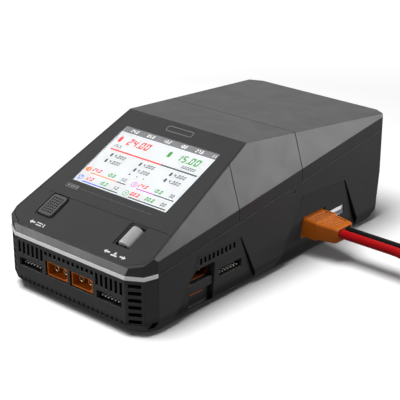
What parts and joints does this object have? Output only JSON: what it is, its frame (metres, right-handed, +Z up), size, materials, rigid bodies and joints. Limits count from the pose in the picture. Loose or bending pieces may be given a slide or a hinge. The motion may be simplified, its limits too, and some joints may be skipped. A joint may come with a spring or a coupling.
{
  "type": "balance battery charger",
  "caption": "Desktop balance charger with a sloping colour screen, press button, roller, power and balance sockets, wireless pad, fan and supply lead.",
  "frame": {"origin": "on the floor plane, under the middle of the case without its lead", "axes": "+Z up, -Y is the front with the sloping screen, +X is the side with the supply lead"},
  "size_m": [0.2541, 0.227, 0.0843],
  "materials": {
    "case_dark": "fine moulded texture",
    "cover_grey": "fine moulded texture",
    "panel_dark": "smooth satin",
    "trim_silver": "satin",
    "screen_glass": "clear, glossy",
    "screen_white": "lit screen",
    "button_grey": "fine grain with a field of dimples",
    "roller_aluminium": "knurled, satin",
    "board_green": "solder mask",
    "heatsink_aluminium": "extruded",
    "coil_copper": "enamelled wire",
    "ferrite_grey": "sintered",
    "capacitor_sleeve": "shrink sleeve",
    "winding_tape": "polyester tape",
    "black_plastic": "moulded nylon",
    "fan_black": "moulded",
    "switch_metal": "tinned",
    "white_plastic": "moulded nylon",
    "screw_steel": "blackened",
    "foot_rubber": "matt",
    "connector_orange": "moulded nylon",
    "contact_gold": "gold plated",
    "wire_red": "silicone",
    "wire_black": "silicone"
  },
  "bodies": {
    "case": {"lower_shell": "case_dark", "front_fascia": "case_dark", "silver_trim": "trim_silver", "front_cover": "cover_grey", "wireless_cover": "cover_grey", "rear_cover": "cover_grey", "button_panel": "panel_dark", "display_panel": "panel_dark", "screen_lens": "screen_glass", "rubber_feet": "foot_rubber", "case_screws": "screw_steel", "lcd_module": "screen_white", "display_board": "board_green", "channel_switch": "switch_metal", "roller_switch": "black_plastic", "wireless_coil": "coil_copper", "coil_shield": "ferrite_grey", "main_board": "board_green", "power_board": "board_green", "main_heatsink": "heatsink_aluminium", "power_heatsink": "heatsink_aluminium", "power_inductors": "ferrite_grey", "filter_capacitors": "capacitor_sleeve", "transformer": "winding_tape", "buzzer": "black_plastic", "front_output_sockets": "connector_orange", "front_output_contacts": "contact_gold", "front_balance_sockets": "black_plastic", "front_balance_pins": "contact_gold", "side_output_sockets": "connector_orange", "side_output_contacts": "contact_gold", "side_balance_sockets": "black_plastic", "side_balance_pins": "contact_gold", "dc_input_socket": "connector_orange", "dc_input_contacts": "contact_gold", "usb_port": "switch_metal", "usb_tongue": "white_plastic", "ac_inlet": "black_plastic", "ac_inlet_pins": "switch_metal", "fan_housing": "black_plastic", "fan_screws": "screw_steel", "input_plug": "connector_orange", "red_wire": "wire_red", "black_wire": "wire_black", "red_coil": "wire_red", "black_coil": "wire_black", "red_bullet": "contact_gold", "black_bullet": "contact_gold"},
    "channel_button": {"channel_button": "button_grey", "channel_plunger": "black_plastic"},
    "roller_carriage": {"roller_carriage": "black_plastic", "roller_axle": "screw_steel", "roller_plunger": "black_plastic"},
    "scroll_roller": {"scroll_roller": "roller_aluminium"},
    "fan_rotor": {"fan_rotor": "fan_black"}
  },
  "joints": [
    {"name": "channel_button_press", "type": "slide", "parent": "case", "child": "channel_button", "axis": [0, 0.4138, -0.9104], "range_m": [0, 0.0006], "stiffness_N_per_m": 500},
    {"name": "roller_press", "type": "slide", "parent": "case", "child": "roller_carriage", "axis": [0, 0.4138, -0.9104], "range_m": [0, 0.0005], "stiffness_N_per_m": 500},
    {"name": "roller_spin", "type": "hinge", "parent": "roller_carriage", "child": "scroll_roller", "pos_m": [0.0298, -0.09367, 0.04678], "axis": [0, 0.9104, 0.4138], "continuous": true},
    {"name": "fan_spin", "type": "hinge", "parent": "case", "child": "fan_rotor", "pos_m": [-0.02, 0.10605, 0.0361], "axis": [0, 0.9943, -0.1066], "continuous": true}
  ]
}
